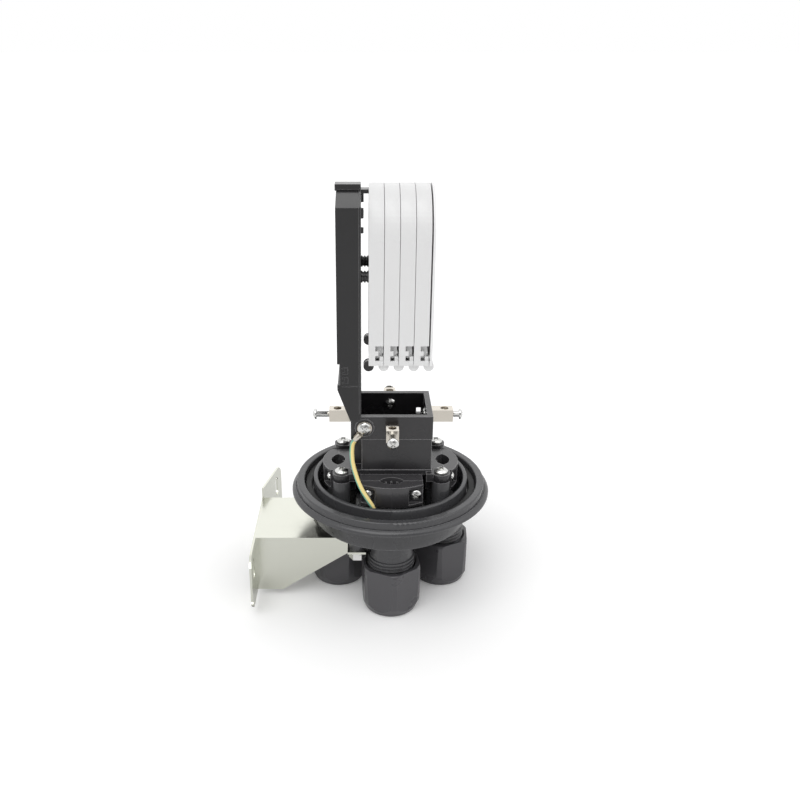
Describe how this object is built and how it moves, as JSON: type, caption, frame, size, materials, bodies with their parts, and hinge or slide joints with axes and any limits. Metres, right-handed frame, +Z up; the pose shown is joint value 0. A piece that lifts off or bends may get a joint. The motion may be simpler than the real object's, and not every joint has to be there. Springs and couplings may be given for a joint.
{
  "type": "dome splice closure",
  "caption": "Open fibre closure: round cable base on gland nuts, inner frame with clamps, slack carrier, hinged splice trays with a lid, and a steel bracket.",
  "frame": {"origin": "on the base's axis, level with the top of the lip on which the dome sits", "axes": "+Z up towards the trays, +X away from the bracket, -Y towards the front strength post"},
  "size_m": [0.214, 0.18, 0.369],
  "materials": {
    "base_plastic": "moulded, fine grain",
    "frame_plastic": "moulded, semi-gloss",
    "nut_plastic": "moulded, satin",
    "tray_plastic": "moulded, satin",
    "seal_rubber": "matte",
    "zinc_screw": "bright zinc plate",
    "nickel_brass": "nickel plate",
    "stainless": "folded sheet, fine satin",
    "wire_jacket": "smooth vinyl"
  },
  "bodies": {
    "closure_base": {"base_body": "base_plastic", "seal_ring": "seal_rubber", "gland_seal_front": "seal_rubber", "gland_seal_left": "seal_rubber", "gland_seal_back": "seal_rubber", "gland_seal_right": "seal_rubber", "gland_washers": "frame_plastic", "inner_jaw_front": "frame_plastic", "inner_jaw_left": "frame_plastic", "inner_jaw_back": "frame_plastic", "inner_jaw_right": "frame_plastic", "outer_jaw_front": "frame_plastic", "outer_jaw_left": "frame_plastic", "outer_jaw_back": "frame_plastic", "outer_jaw_right": "frame_plastic", "jaw_screws": "zinc_screw", "support_frame": "frame_plastic", "frame_screws": "zinc_screw", "strength_post_front": "nickel_brass", "strength_post_left": "nickel_brass", "strength_post_back": "nickel_brass", "strength_post_right": "nickel_brass", "post_fixing_screws": "zinc_screw", "post_clamp_screws": "zinc_screw", "earth_screw": "zinc_screw", "earth_lug": "nickel_brass", "earth_wire": "wire_jacket", "earth_terminal": "nickel_brass", "slack_carrier": "frame_plastic", "carrier_screws": "zinc_screw", "spacer_pegs": "frame_plastic", "top_clip": "frame_plastic", "tray_1": "tray_plastic", "pivot_bobbins": "frame_plastic", "bracket": "stainless", "bracket_bolts": "zinc_screw", "bracket_washers": "zinc_screw"},
    "tray_2": {"tray_2": "tray_plastic"},
    "tray_3": {"tray_3": "tray_plastic"},
    "tray_4": {"tray_4": "tray_plastic"},
    "tray_lid": {"tray_lid": "tray_plastic"},
    "gland_nut_front": {"gland_nut_front": "nut_plastic"},
    "gland_nut_left": {"gland_nut_left": "nut_plastic"},
    "gland_nut_back": {"gland_nut_back": "nut_plastic"},
    "gland_nut_right": {"gland_nut_right": "nut_plastic"}
  },
  "joints": [
    {"name": "tray_2_hinge", "type": "hinge", "parent": "closure_base", "child": "tray_2", "pos_m": [-0.0078, 0, 0.1213], "axis": [0, 1, 0], "range_deg": [0, 20]},
    {"name": "tray_3_hinge", "type": "hinge", "parent": "tray_2", "child": "tray_3", "pos_m": [0.0046, 0, 0.1213], "axis": [0, 1, 0], "range_deg": [0, 25]},
    {"name": "tray_4_hinge", "type": "hinge", "parent": "tray_3", "child": "tray_4", "pos_m": [0.017, 0, 0.1213], "axis": [0, 1, 0], "range_deg": [0, 25]},
    {"name": "lid_hinge", "type": "hinge", "parent": "tray_4", "child": "tray_lid", "pos_m": [0.0294, 0, 0.1213], "axis": [0, 1, 0], "range_deg": [0, 28]},
    {"name": "gland_nut_front_turn", "type": "hinge", "parent": "closure_base", "child": "gland_nut_front", "pos_m": [0, -0.048, -0.0847], "axis": [0, 0, 1], "continuous": true},
    {"name": "gland_nut_left_turn", "type": "hinge", "parent": "closure_base", "child": "gland_nut_left", "pos_m": [-0.048, 0, -0.0847], "axis": [0, 0, 1], "continuous": true},
    {"name": "gland_nut_back_turn", "type": "hinge", "parent": "closure_base", "child": "gland_nut_back", "pos_m": [0, 0.048, -0.0847], "axis": [0, 0, 1], "continuous": true},
    {"name": "gland_nut_right_turn", "type": "hinge", "parent": "closure_base", "child": "gland_nut_right", "pos_m": [0.048, 0, -0.0847], "axis": [0, 0, 1], "continuous": true}
  ]
}
